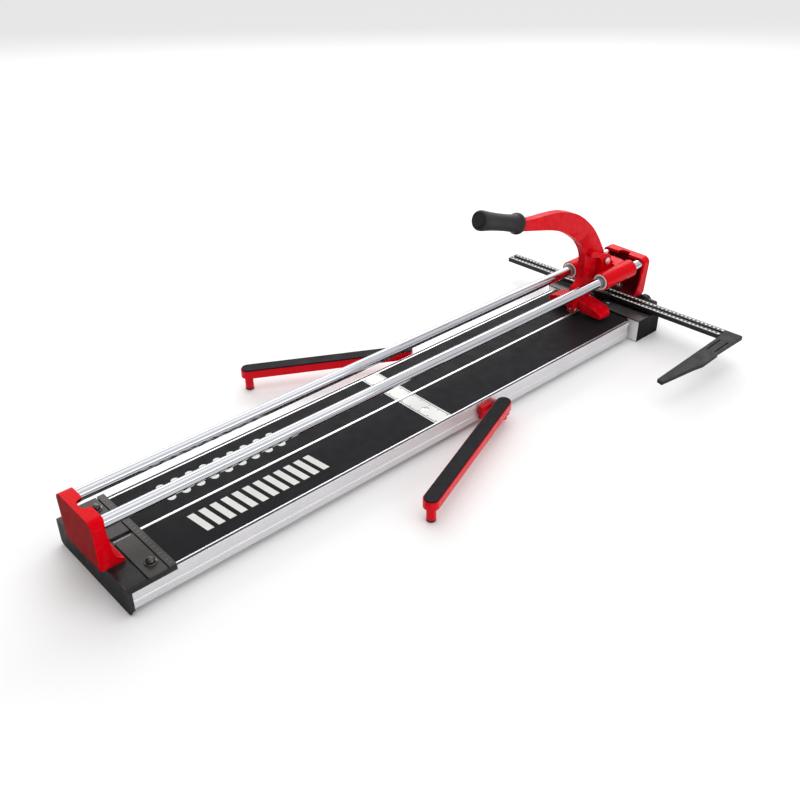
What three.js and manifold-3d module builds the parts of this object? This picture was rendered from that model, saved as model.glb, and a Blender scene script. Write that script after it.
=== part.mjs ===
// Manual dual-rail tile cutter, in millimetres. +X runs along the base towards the fence end and +Z is up.
// Pieces are drawn about the middle of the base at floor level. The finished group is then moved so that
// its origin is the middle of the near foot's underside.
import * as THREE from 'three';
import { mergeVertices } from 'three/addons/utils/BufferGeometryUtils.js';
import Module from 'manifold-3d';

const wasm = await Module();
wasm.setup();

// Driving dimensions
const BASE_X = [-706, 700];    // end faces of the two brackets
const NEAR_FOOT_X = -695;      // middle of the near foot
const NEAR_BRACKET_Y = 117;
const RIB_SLOT_Y = [-9, 3.6]; // gap in the near bracket and its plates, round the breaking rib
const EXTRUSION_X = [-698, 563];
const SIDE_Y = 115;            // outer faces of the side rails
const DECK_Z = 47;             // top of the aluminium deck, under the mats
const MAT_Z = 50;
const MAT_Y = [3, 106];
const BRACKET_TOP = 54;
const RAIL_R = 11;
const RAIL_Y = 43.4;
const RAIL_Z = 134.5;
const POST_HALF_Y = 59;
const POST_TOP = 149.5;
const POST_FACE_X = [-716, 704]; // flat outer faces of the end posts
const CARRIAGE_X = [534, 646];
const TUBE_R = 20.5;
const PIVOT = [581, 166];      // lever pivot, x and z
const WHEEL = [500, 63];       // scoring wheel centre, x and z
const WHEEL_R = 10.4;
const FOOT_PIN_Z = 80;
const FENCE_PIVOT_X = 631.5;
const FENCE_TILT = THREE.MathUtils.degToRad(2.7);
const FENCE_HALF_W = 16.2;
const FENCE_Z = [56.8, 67];
const ARM_PIVOT = [108, 142];  // x and y of the support arm pivots
const ARM_LENGTH = 340;        // pivot centre to foot centre
const ARM_HALF_W = 15.5;
const ARM_Z = [31, 47.4];
const NEAR_ARM_ANGLE = THREE.MathUtils.degToRad(200.7);
const FAR_ARM_ANGLE = THREE.MathUtils.degToRad(150.9);

const COLOURS = {
  red: [0xc4101c, 0.1, 0.4], black_steel: [0x17181a, 0.4, 0.45], plate_grey: [0x4c4a48, 0.4, 0.5],
  aluminium: [0xc9cace, 0.9, 0.35], chrome: [0xe2e4e8, 1, 0.1], rubber: [0x3a3b3e, 0, 0.9],
  bright_steel: [0xb9bbbf, 0.9, 0.3], polymer: [0xe6e2d6, 0, 0.5], black_plastic: [0x1d1d1f, 0, 0.6],
};
const group = new THREE.Group();

// Helpers: solids as manifolds, so that they can be joined and cut
function solid(geometry) {
  const g = geometry.clone();
  g.deleteAttribute('normal');
  g.deleteAttribute('uv');
  const m = mergeVertices(g, 1e-4);
  return new wasm.Manifold(new wasm.Mesh({
    numProp: 3,
    vertProperties: new Float32Array(m.attributes.position.array),
    triVerts: new Uint32Array(m.index.array),
  }));
}

function add(name, colour, body, bodyRotation = null) {
  const mesh = body.getMesh();
  const geometry = new THREE.BufferGeometry();
  geometry.setAttribute('position', new THREE.BufferAttribute(new Float32Array(mesh.vertProperties), 3));
  geometry.setIndex(new THREE.BufferAttribute(new Uint32Array(mesh.triVerts), 1));
  if (bodyRotation) geometry.applyMatrix4(bodyRotation);
  geometry.computeVertexNormals();
  const [color, metalness, roughness] = COLOURS[colour];
  const material = new THREE.MeshStandardMaterial({ color, metalness, roughness });
  material.name = `${colour}_${name}`;
  const object = new THREE.Mesh(geometry, material);
  object.name = name;
  group.add(object);
}

const join = (...parts) => parts.reduce((a, b) => a.add(b));
const cut = (a, ...tools) => tools.reduce((m, t) => m.subtract(t), a);

function box(x0, x1, y0, y1, z0, z1) {
  const g = new THREE.BoxGeometry(x1 - x0, y1 - y0, z1 - z0);
  g.translate((x0 + x1) / 2, (y0 + y1) / 2, (z0 + z1) / 2);
  return solid(g);
}

function extrude(points, depth) {
  const shape = new THREE.Shape(points.map(([a, b]) => new THREE.Vector2(a, b)));
  return new THREE.ExtrudeGeometry(shape, { depth, bevelEnabled: false });
}

// Prisms whose outline is drawn in the plane across the named axis
function prismZ(points, z0, z1) {
  const g = extrude(points, z1 - z0);
  g.translate(0, 0, z0);
  return solid(g);
}

function prismY(pointsXZ, y0, y1) {
  const g = extrude(pointsXZ, y1 - y0);
  g.rotateX(Math.PI / 2);
  g.translate(0, y1, 0);
  return solid(g);
}

function prismX(pointsYZ, x0, x1) {
  const g = extrude(pointsYZ, x1 - x0);
  g.applyMatrix4(new THREE.Matrix4().set(0, 0, 1, x0, 1, 0, 0, 0, 0, 1, 0, 0, 0, 0, 0, 1));
  return solid(g);
}

function ring(radius, n, cx = 0, cy = 0) {
  return Array.from({ length: n }, (_, i) => {
    const a = (2 * Math.PI * i) / n;
    return [cx + radius * Math.cos(a), cy + radius * Math.sin(a)];
  });
}

const rodX = (r, x0, x1, y, z, n = 28) => prismX(ring(r, n, y, z), x0, x1);
const rodY = (r, y0, y1, x, z, n = 28) => prismY(ring(r, n, x, z), y0, y1);
const rodZ = (r, z0, z1, x, y, n = 28) => prismZ(ring(r, n, x, y), z0, z1);

// A long shape with round ends, from a to b
function stadium(a, b, r, n = 10) {
  const angle = Math.atan2(b[1] - a[1], b[0] - a[0]);
  const arc = (c, start) => Array.from({ length: n + 1 }, (_, i) => {
    const t = start + (Math.PI * i) / n;
    return [c[0] + r * Math.cos(t), c[1] + r * Math.sin(t)];
  });
  return [...arc(a, angle + Math.PI / 2), ...arc(b, angle - Math.PI / 2)];
}

// A rectangle with rounded corners; radii run anticlockwise from the low corner
function roundedRect(x0, x1, y0, y1, radii, n = 6) {
  const corners = [[x0, y0, 180, 1, 1], [x1, y0, 270, -1, 1], [x1, y1, 0, -1, -1], [x0, y1, 90, 1, -1]];
  return corners.flatMap(([x, y, start, sx, sy], k) => {
    const r = radii[k];
    if (r === 0) return [[x, y]];
    return Array.from({ length: n + 1 }, (_, i) => {
      const t = THREE.MathUtils.degToRad(start + (90 * i) / n);
      return [x + sx * r + r * Math.cos(t), y + sy * r + r * Math.sin(t)];
    });
  });
}

const mirrorY = (body) => body.mirror([0, 1, 0]);
const SIDES = [['left', 1], ['right', -1]];
const onSide = (body, sign) => (sign > 0 ? body : mirrorY(body));

// Base: two wide deck extrusions, the centre rail with the breaking rib, mats and rules
function deckExtrusion() {
  return prismX([
    [6, 43], [109.5, 43], [109.5, 14.5], [95, 14.5], [95, 10.6], [114.6, 10.6], [114.6, 24.2], [113.2, 25.4],
    [113.2, 40], [SIDE_Y, 40.8], [SIDE_Y, MAT_Z], [114, MAT_Z], [114, 48.6], [109.4, 48.6], [109.4, MAT_Z],
    [106.4, MAT_Z], [106.4, DECK_Z], [6, DECK_Z],
  ], ...EXTRUSION_X);
}

function centreRail() {
  const bar = prismX([
    [-20, 10.6], [20, 10.6], [20, 14.5], [5.7, 14.5], [5.7, DECK_Z], [2.5, DECK_Z], [2.5, 51.6],
    [-2.5, 51.6], [-2.5, DECK_Z], [-5.7, DECK_Z], [-5.7, 14.5], [-20, 14.5],
  ], EXTRUSION_X[0], 574);
  const underBracket = box(-700, -666.6, -10, 10, 49.9, 60);
  return cut(bar, underBracket);
}

function mat(x0, x1) {
  return prismZ(roundedRect(x0, x1, MAT_Y[0], MAT_Y[1], [4, 4, 2, 2], 3), DECK_Z + 0.1, MAT_Z);
}

function middleRule() {
  const plate = prismZ(roundedRect(-48, -4, MAT_Y[0], MAT_Y[1], [3, 3, 0, 0], 3), DECK_Z + 0.1, MAT_Z + 0.2);
  return cut(plate, rodZ(8.2, DECK_Z, MAT_Z + 1, -28, 58, 24));
}

const middleScrew = () => join(
  rodZ(7.6, DECK_Z + 0.2, MAT_Z - 1.2, -28, 58, 24),
  rodZ(4.2, MAT_Z - 1.3, MAT_Z - 0.2, -28, 58, 6),
);

// Folded end bracket: end plate, top plate with a short flange down each side, and a foot
function nearBracket() {
  const w = NEAR_BRACKET_Y;
  const endPlate = prismX(roundedRect(-w, w, 0, BRACKET_TOP, [9, 9, 5, 5], 4), BASE_X[0], -703);
  const top = cut(
    prismX(roundedRect(-w, w, 44.6, BRACKET_TOP, [0, 0, 5, 5], 4), BASE_X[0], -619),
    box(-703, -600, -SIDE_Y - 0.3, SIDE_Y + 0.3, 40, 50.3),
  );
  const returns = SIDES.map(([, s]) => onSide(box(BASE_X[0], -698.4, w - 3, w, 9, 46), s));
  const shell = join(endPlate, top, ...returns,
    box(BASE_X[0], 2 * NEAR_FOOT_X - BASE_X[0], -104, 104, 0, 3));
  return cut(shell, box(-667, -610, RIB_SLOT_Y[0], RIB_SLOT_Y[1], 40, 60), rodZ(4.3, 49, 60, POST_FACE_X[0] + 24, 0, 16));
}

// Box that carries the fence, wider than the deck, with a narrower tail under the far post
function farBracket() {
  const end = BASE_X[1];
  const outline = [[579, -131], [660, -131], [660, -56], [end, -56], [end, 56], [660, 56], [660, 131], [579, 131]];
  const inner = [[582, -128], [657, -128], [657, -53], [end - 3, -53], [end - 3, 53], [657, 53], [657, 128],
    [582, 128]];
  const shell = cut(prismZ(outline, 0, 51), prismZ(inner, -1, 48));
  const tail = box(664, end, -56, 56, 50, BRACKET_TOP);
  const tongues = SIDES.map(([, s]) => onSide(box(500, 581, 26, 92, 38.6, 42.7), s));
  const bossForKnob = cut(rodY(9, -54, -36, 690, 43.5, 20), box(670, 710, -60, -30, 51, 60));
  const knobBore = rodY(5.2, -60, -30, 690, 43.5, 20);
  const boltHole = rodZ(4.3, 45, 60, POST_FACE_X[1] - 24, 0, 16);
  return cut(join(shell, tail, bossForKnob, ...tongues), knobBore, boltHole);
}

function nearPlate(s) {
  const inner = s > 0 ? RIB_SLOT_Y[1] : -RIB_SLOT_Y[0];
  return onSide(prismZ(roundedRect(-668, -634, inner, NEAR_BRACKET_Y, [1, 1, 2, 2], 3), 54.3, 57), s);
}

// Domed hex bolt with its flange, standing on the near plate
function nearBolt() {
  const profile = [[0, 57.3], [10.5, 57.3], [10.5, 58.8], [7.6, 59.2], [7.6, 62.4], [6.4, 64.6], [3.6, 66.4], [0, 67]];
  const g = new THREE.LatheGeometry(profile.map(([r, z]) => new THREE.Vector2(r, z)), 20);
  g.rotateX(Math.PI / 2);
  g.translate(-648, 88, 0);
  return solid(g);
}

const stopStrip = () => cut(
  prismZ(roundedRect(-632.5, -619.5, -116, 116, [1, 1, 1, 1], 2), 54.3, 58.4),
  box(-640, -610, -3, 3, 50, 54.9),
);

function farRule() {
  const plate = prismZ(roundedRect(575.6, 613, 12, 130.6, [1, 5, 1, 1], 4), 51.3, BRACKET_TOP);
  return cut(plate, rodZ(4.6, 50, 60, 601, 27, 20));
}

const farScrew = () => rodZ(4.1, 51.3, 55.2, 601, 27, 20);

// End post: a shell casting, drawn with its flat outer face at x = 0 and opening towards +x
function endPost() {
  const w = POST_HALF_Y;
  const z0 = 54.3;
  const taper = (points) => points.map(([y, z]) => [y * (1 - 0.085 * (POST_TOP - z) / (POST_TOP - z0)), z]);
  const outline = taper(roundedRect(-w, w, z0, POST_TOP, [0, 0, 15, 15], 5));
  const face = taper(roundedRect(3 - w, w - 3, z0, POST_TOP - 3, [0, 0, 13, 13], 5));
  const inner = taper(roundedRect(4.6 - w, w - 4.6, z0 + 7, POST_TOP - 6, [4, 4, 10, 10], 3));
  const block = wasm.Manifold.hull([prismX(face, 0, 43), prismX(outline, 3, 43)]);
  const shell = cut(block, prismX(inner, 8, 60));
  const sideProfile = [[24, POST_TOP + 5], [24, 92], [27, 76], [34, 66], [43, 59], [60, 59], [60, POST_TOP + 5]];
  const notch = prismZ(roundedRect(10, 60, -13, 13, [8, 0, 0, 8], 4), 130, 160);
  const bosses = SIDES.map(([, s]) => rodX(15, 7, 14, s * RAIL_Y, RAIL_Z, 28));
  const bushSeats = SIDES.map(([, s]) => rodX(13.4, 2.6, 20.4, s * RAIL_Y, RAIL_Z, 28));
  const passages = SIDES.map(([, s]) => rodX(11.6, 15, 60, s * RAIL_Y, RAIL_Z, 28));
  const boltHole = rodZ(4.3, 50, 70, 24, 0, 16);
  const footChamfer = prismY([[-1, z0 - 1], [6, z0 - 1], [-1, z0 + 6]], -80, 80);
  return cut(join(shell, ...bosses), prismY(sideProfile, -80, 80), footChamfer, notch, ...bushSeats, ...passages, boltHole);
}

const toFarEnd = (body) => body.mirror([1, 0, 0]).translate([POST_FACE_X[1], 0, 0]);
const toNearEnd = (body) => body.translate([POST_FACE_X[0], 0, 0]);

const railBush = (s) => cut(
  rodX(13.2, 3, 20, s * RAIL_Y, RAIL_Z), rodX(RAIL_R + 0.15, 6, 30, s * RAIL_Y, RAIL_Z, 32),
);

const postBolt = () => join(rodZ(4, 51, 66, 24, 0, 16), rodZ(8.6, 61.6, 67.5, 24, 0, 6), rodZ(4, 67, 71, 24, 0, 16));

function slideRail(s) {
  return rodX(RAIL_R, POST_FACE_X[0] + 6.4, POST_FACE_X[1] - 6.4, s * RAIL_Y, RAIL_Z, 32);
}

for (const [side, s] of SIDES) {
  add(`${side}_deck_rail`, 'aluminium', onSide(deckExtrusion(), s));
  add(`near_${side}_mat`, 'rubber', onSide(mat(-617.5, -48.4), s));
  add(`far_${side}_mat`, 'rubber', onSide(mat(-3.6, 575), s));
  add(`${side}_middle_rule`, 'bright_steel', onSide(middleRule(), s));
  add(`${side}_middle_screw`, 'bright_steel', onSide(middleScrew(), s));
  add(`near_${side}_plate`, 'plate_grey', nearPlate(s));
  add(`near_${side}_bolt`, 'black_steel', onSide(nearBolt(), s));
  add(`far_${side}_rule`, 'plate_grey', onSide(farRule(), s));
  add(`far_${side}_screw`, 'bright_steel', onSide(farScrew(), s));
  add(`${side}_slide_rail`, 'chrome', slideRail(s));
  add(`near_${side}_rail_bush`, 'black_plastic', toNearEnd(railBush(s)));
  add(`far_${side}_rail_bush`, 'black_plastic', toFarEnd(railBush(s)));
}
add('centre_rail', 'aluminium', centreRail());
add('near_bracket', 'black_steel', nearBracket());
add('far_bracket', 'black_steel', farBracket());
add('stop_strip', 'plate_grey', stopStrip());
add('near_post', 'red', toNearEnd(endPost()));
add('far_post', 'red', toFarEnd(endPost()));
add('near_post_bolt', 'bright_steel', toNearEnd(postBolt()));
add('far_post_bolt', 'bright_steel', toFarEnd(postBolt()));

// Carriage: two bearing tubes, a bridge behind the lever and two pivot ears
function carriage() {
  const [x0, x1] = CARRIAGE_X;
  const [px, pz] = PIVOT;
  const tubes = SIDES.map(([, s]) => rodX(TUBE_R, x0, x1, s * RAIL_Y, RAIL_Z, 36));
  const bridge = prismX([[-43, 122], [43, 122], [43, 148], [20, 152], [-20, 152], [-43, 148]], 604, 640);
  const lug = [[531, 203], [521, 198], [524, 190], [556, 180]];
  const ears = SIDES.map(([, s]) => onSide(prismY([
    [556, 124], [640, 124], [640, 146], [612, 152], [px + 17, pz],
    ...(s < 0 ? [...ring(17, 24, px, pz).slice(1, 8), ...lug] : ring(17, 24, px, pz).slice(1, 12)),
    [px - 17, pz], [562, 148],
  ], 9.6, 21), s));
  const webs = SIDES.map(([, s]) => onSide(box(556, 640, 18, 43, 124, 142), s));
  const bores = SIDES.flatMap(([, s]) => [
    rodX(14.8, x0 - 1, x1 + 1, s * RAIL_Y, RAIL_Z, 32),
    rodX(18.4, x0 - 1, x0 + 3.3, s * RAIL_Y, RAIL_Z, 32),
    rodX(18.4, x1 - 3.3, x1 + 1, s * RAIL_Y, RAIL_Z, 32),
  ]);
  return cut(join(...tubes, bridge, ...ears, ...webs), ...bores, rodY(5.2, -30, 30, px, pz, 24));
}

// Pale flanged bush at one end of a bearing tube
function bearing(s, atFarEnd) {
  const [x0, x1] = CARRIAGE_X;
  const sleeve = join(rodX(14.5, 0.5, 34, 0, 0, 32), rodX(18, 0.2, 3, 0, 0, 32));
  const body = cut(sleeve, rodX(RAIL_R + 0.12, -1, 40, 0, 0, 32));
  const placed = atFarEnd ? body.mirror([1, 0, 0]).translate([x1, 0, 0]) : body.translate([x0, 0, 0]);
  return placed.translate([0, s * RAIL_Y, RAIL_Z]);
}

function pivotBolt() {
  const [px, pz] = PIVOT;
  return join(
    rodY(4.9, -22, 26, px, pz, 24), rodY(8.4, -26, -21.3, px, pz, 6), rodY(5.4, -28.4, -26, px, pz, 16),
    rodY(8.4, 21.3, 27, px, pz, 6),
  );
}

add('carriage', 'red', carriage());
for (const [side, s] of SIDES) {
  add(`${side}_near_bearing`, 'polymer', bearing(s, false));
  add(`${side}_far_bearing`, 'polymer', bearing(s, true));
}
add('pivot_bolt', 'bright_steel', pivotBolt());

// Lever: a flat curved arm, from the grip over the top and down to the wheel and breaker holder
function leverArm() {
  const [px, pz] = PIVOT;
  const curve = (points, n) => new THREE.SplineCurve(points.map(([a, b]) => new THREE.Vector2(a, b)))
    .getPoints(n).map((p) => [p.x, p.y]);
  const outer = curve([[288, 337.5], [323, 332.2], [360, 329.5], [394, 326], [422, 320.8], [452, 311],
    [476, 300], [503, 282], [533, 256], [555, 230], [573, 204], [590, 177]], 30);
  const lower = curve([[596, 158], [586, 140], [570, 122], [558, 104], [550.5, 92]], 8);
  const inner = curve([[491.5, 104], [495, 117], [509, 127], [515.5, 142], [516.5, 165], [513.5, 192],
    [505, 210.5], [487, 233.4], [459, 254.4], [430, 272], [404, 283.6], [378, 292.2], [341, 301.8], [288, 315]], 32);
  const arm = prismY([...outer, ...lower, [550.5, 70], [541.8, 70], [541.8, 90.5], [510.8, 90.5],
    [510.8, 68], [507, 57], [493, 57], [491, 74], ...inner], -9, 9);
  const socket = rodBetween([300, 325], [176, 366], 8, 16);
  const wheelSlot = box(485, 511.5, -3.3, 3.3, 50, 75.5);
  const wheelAxle = rodY(3.1, -12, 12, WHEEL[0], WHEEL[1], 20);
  const footPin = rodX(3.1, 500, 549, 0, FOOT_PIN_Z, 20);
  const boss = rodY(13, -9.2, 9.2, px, pz, 24);
  return cut(join(arm, boss, socket), wheelSlot, wheelAxle, footPin, rodY(5.15, -30, 30, px, pz, 24));
}

// Round bar in the plane y = 0, between two points given as x and z
function rodBetween(a, b, r, n) {
  return lathedBetween(a, b, [[0, 0], [r, 0], [r, 1], [0, 1]], n);
}

// Turned shape along the line from a to b; its profile is radius against fraction of the length
function lathedBetween(a, b, profile, n) {
  const length = Math.hypot(b[0] - a[0], b[1] - a[1]);
  const g = new THREE.LatheGeometry(profile.map(([r, t]) => new THREE.Vector2(r, t * length)), n);
  const direction = new THREE.Vector3(b[0] - a[0], 0, b[1] - a[1]).normalize();
  g.applyQuaternion(new THREE.Quaternion().setFromUnitVectors(new THREE.Vector3(0, 1, 0), direction));
  g.translate(a[0], 0, a[1]);
  return solid(g);
}

function grip() {
  const profile = [[0, 0], [20.5, 0], [22, 0.02], [22, 0.06], [19.2, 0.09], [18, 0.13], [17, 0.35], [17.6, 0.6],
    [19.6, 0.84], [20.2, 0.92], [18.8, 0.975], [14, 1], [0, 1]];
  const body = lathedBetween([283.6, 330.4], [162.6, 370.4], profile, 28);
  return cut(body, lathedBetween([300, 325], [175.1, 366.3], [[0, 0], [8.25, 0], [8.25, 1.004], [0, 1.004]], 16));
}

function scoringWheel() {
  const profile = [[3.25, -2.4], [5.4, -2.4], [6.2, -1.4], [9.2, -0.9], [WHEEL_R, 0], [9.2, 0.9], [6.2, 1.4],
    [5.4, 2.4], [3.25, 2.4], [3.25, -2.4]];
  const g = new THREE.LatheGeometry(profile.map(([r, y]) => new THREE.Vector2(r, y)), 32);
  g.translate(WHEEL[0], 0, WHEEL[1]);
  return solid(g);
}

// Two-winged breaker foot, hung on a pin along X so that it can rock
function breakerFoot() {
  const half = [[9, 84.5], [22, 83], [44, 78.5], [60, 74.5], [70, 72], [75, 68], [75, 61.5], [72, 59.8],
    [56, 59.8], [42, 60.4], [26, 61.4], [10, 62.4]];
  const wings = prismX([...half, ...half.map(([y, z]) => [-y, z]).reverse()], 507, 551);
  const holderGaps = [box(500, 511.6, -12, 12, 40, 100), box(541, 560, -12, 12, 40, 100)];
  const corners = SIDES.flatMap(([, s]) => [
    onSide(prismZ([[552, 58], [552, 80], [537, 80]], 40, 100), s),
    onSide(prismZ([[506, 70], [512, 80], [506, 80]], 40, 100), s),
  ]);
  const hub = rodX(8, 511.6, 541, 0, FOOT_PIN_Z, 24);
  return cut(join(cut(wings, ...holderGaps, ...corners), hub), rodX(3.3, 500, 560, 0, FOOT_PIN_Z, 24));
}

add('lever_arm', 'red', leverArm());
add('grip', 'rubber', grip());
add('scoring_wheel', 'bright_steel', scoringWheel());
add('wheel_axle', 'bright_steel', rodY(3, -9.8, 9.8, ...WHEEL, 20));
add('breaker_foot', 'red', breakerFoot());
add('breaker_foot_pin', 'bright_steel', rodX(3, 501, 548.5, 0, FOOT_PIN_Z, 20));

// Fence, drawn square with its pivot at the origin and then turned by its set angle
const fencePlacement = new THREE.Matrix4().makeRotationZ(FENCE_TILT).setPosition(FENCE_PIVOT_X, 0, 0);

function fenceBar() {
  const w = FENCE_HALF_W;
  const [z0, z1] = FENCE_Z;
  const g = prismX([[-w, z0], [w, z0], [w, z1], [3.2, z1], [3.2, z1 - 2.5], [6, z1 - 2.5], [6, z1 - 7],
    [-6, z1 - 7], [-6, z1 - 2.5], [-3.2, z1 - 2.5], [-3.2, z1], [-w, z1]], -300, 286);
  return g.rotate([0, 0, 90]);
}

function stopArm() {
  const plate = prismZ([[-FENCE_HALF_W, -300.4], [-FENCE_HALF_W, -303], [-271.5, -303], [-275.5, -316.4],
    [-177, -333.7], [-152.6, -339.9], [-94.8, -340.1], [-86.7, -336.9], [12, -341.4], [15.6, -338.4],
    [15.6, -300.4]], 59.2, FENCE_Z[1] + 0.2);
  const grooves = [-313.2, -331.5].map((y) => prismZ(stadium([-88.5, y], [-36, y], 1.8, 6), 65, 70));
  return cut(plate, ...grooves);
}

// Clamp block: a round foot that turns on the far bracket, with two cheeks that guide the bar
function fenceBlock() {
  const lip = (s) => box(Math.min(s * 14.2, s * 24), Math.max(s * 14.2, s * 24), -20, 20, 67.3, 70);
  return join(
    rodZ(17.5, 51.3, 56.4, 0, 0, 32), box(-24, 24, -20, 20, 54.4, 56.5),
    box(-24, -16.5, -20, 20, 54.4, 70), box(16.5, 24, -20, 20, 54.4, 70), lip(1), lip(-1),
  );
}

function lockKnob() {
  const profile = [[0, -60.5], [14.5, -60.5], [16.8, -62], [17.2, -76], [15.6, -78.6], [10.8, -79.4], [10.6, -97],
    [8.8, -99.6], [0, -100.4]];
  const g = new THREE.LatheGeometry(profile.map(([r, y]) => new THREE.Vector2(r, -y)), 28);
  g.rotateX(Math.PI);
  g.translate(690, 0, 43.5);
  return join(solid(g), rodY(4.9, -61, -37, 690, 43.5, 20));
}

add('fence_block', 'black_plastic', fenceBlock(), fencePlacement);
add('fence_bar', 'black_plastic', fenceBar(), fencePlacement);
add('stop_arm', 'black_steel', stopArm(), fencePlacement);
add('lock_knob', 'black_plastic', lockKnob());

// Support arms: hollow castings that swing on a lug bolted to each deck rail
function armEnds(sign, angle) {
  const pivot = [ARM_PIVOT[0], sign * ARM_PIVOT[1]];
  return [pivot, [pivot[0] + ARM_LENGTH * Math.cos(angle), pivot[1] + ARM_LENGTH * Math.sin(angle)]];
}

function supportArm(pivot, foot) {
  const [z0, z1] = ARM_Z;
  const outer = prismZ(stadium(pivot, foot, ARM_HALF_W), z0, z1);
  const hollow = prismZ(stadium(pivot, foot, ARM_HALF_W - 3), z0 - 1, z1 - 4);
  const bosses = join(rodZ(11, z0, z1 - 1, ...pivot), rodZ(8.8, 3.3, z1 - 1, ...foot, 24));
  return cut(join(cut(outer, hollow), bosses), rodZ(5.2, z0 - 1, z1 - 3, ...pivot, 24));
}

function armLug(s) {
  const body = join(
    box(66, 124, 115.3, 120, 13, 30.6), box(66, 92, 115.3, 124, 24, 42),
    prismZ(stadium([ARM_PIVOT[0], 118], ARM_PIVOT, 13, 8), 21, 30.6), rodY(6.5, 118, 125.4, 79, 34, 16),
  );
  const trimmed = cut(body, box(60, 130, 90, 115.3, 0, 60), rodZ(5.05, 10, 40, ...ARM_PIVOT, 24));
  return onSide(trimmed, s);
}

const armPin = (s) => join(
  rodZ(4.9, 8, 43, ARM_PIVOT[0], s * ARM_PIVOT[1], 24), rodZ(8.5, 8, 20.7, ARM_PIVOT[0], s * ARM_PIVOT[1], 6),
);

for (const [side, s] of SIDES) {
  const [pivot, foot] = armEnds(s, s > 0 ? FAR_ARM_ANGLE : NEAR_ARM_ANGLE);
  add(`${side}_arm_lug`, 'red', armLug(s));
  add(`${side}_arm_pin`, 'red', armPin(s));
  add(`${side}_support_arm`, 'red', supportArm(pivot, foot));
  add(`${side}_arm_pad`, 'rubber', prismZ(stadium(pivot, foot, 13.6), ARM_Z[1] + 0.1, 50.4));
  add(`${side}_arm_foot`, 'rubber', rodZ(9, 0, 3.1, ...foot, 24));
}

group.position.x = -NEAR_FOOT_X;

export default group;
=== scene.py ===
"""Looks for a long manual tile cutter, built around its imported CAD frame.

Shapes are drawn in millimetres about the middle of the base, at floor level, and TO_FRAME takes
them to the CAD frame, whose origin is under the near foot. X runs from the near end to the far
end, which carries the fence; the left side is +Y. Tests on faces are in metres, in the CAD frame.
"""

import math

import bmesh
import bpy
from mathutils import Matrix, Vector


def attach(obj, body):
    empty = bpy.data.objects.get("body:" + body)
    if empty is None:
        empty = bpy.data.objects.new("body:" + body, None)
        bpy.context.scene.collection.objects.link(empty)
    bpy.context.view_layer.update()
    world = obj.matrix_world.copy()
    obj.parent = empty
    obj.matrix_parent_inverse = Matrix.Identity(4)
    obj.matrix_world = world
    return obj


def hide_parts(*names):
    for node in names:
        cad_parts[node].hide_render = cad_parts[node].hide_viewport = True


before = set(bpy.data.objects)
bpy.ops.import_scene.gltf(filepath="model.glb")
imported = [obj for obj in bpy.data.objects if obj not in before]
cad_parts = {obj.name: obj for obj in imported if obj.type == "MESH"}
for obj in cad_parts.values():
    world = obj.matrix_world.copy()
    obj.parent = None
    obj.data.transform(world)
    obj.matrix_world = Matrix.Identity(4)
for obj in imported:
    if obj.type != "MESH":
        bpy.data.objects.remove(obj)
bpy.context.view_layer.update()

NEAR_FOOT_X = -695.0
TO_FRAME = Matrix.Scale(0.001, 4) @ Matrix.Translation((-NEAR_FOOT_X, 0, 0))
SIDES = (("left", 1), ("right", -1))

# base: deck, mats and the two end brackets
SIDE_Y, DECK_X, DECK_Z = 115, (-698, 563), 47
MAT_Y, MAT_Z = (3, 106), 50
BASE_X = (-706, 700)
BRACKET_TOP, NEAR_BRACKET_Y = 54, 117
RIB_SLOT_Y = (-9, 3.6)
NEAR_PLATE_Z, FAR_PLATE_Z = 54.3, 51.3
FAR_BRACKET_X, FAR_BRACKET_Y = 579, 131
KNOB_X, KNOB_Z = 690, 43.5

# guide rails and the posts that hold them
RAIL_R, RAIL_Y, RAIL_Z = 11, 43.4, 134.5
POST_FACE_X = (-716, 704)
POST_HALF_Y, POST_FOOT_Z, POST_TOP = 59, 54.3, 149.5

# carriage and lever: PIVOT and WHEEL are the x and z of the lever's bolt and of the wheel's axle
CARRIAGE_X, TUBE_R = (534, 646), 20.5
PIVOT, WHEEL, WHEEL_R = (581, 166), (500, 63), 10.4
FOOT_PIN_Z = 80

# fence, drawn square to the base and then turned
FENCE_PLACE = Matrix.Translation((631.5, 0, 0)) @ Matrix.Rotation(math.radians(2.7), 4, "Z")
FENCE_HALF_W, FENCE_Z = 16.2, (56.8, 67)

# support arms, drawn along +X from their pivots and then turned
ARM_PIVOT, ARM_LENGTH = (108, 142), 340
ARM_HALF_W, ARM_Z = 15.5, (31, 47.4)
ARM_ANGLE = {"left": math.radians(150.9), "right": math.radians(200.7)}


# ---------------------------------------------------------------- materials

RAMP_INPUTS = ("From Min", "From Max", "To Min", "To Max")


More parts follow.
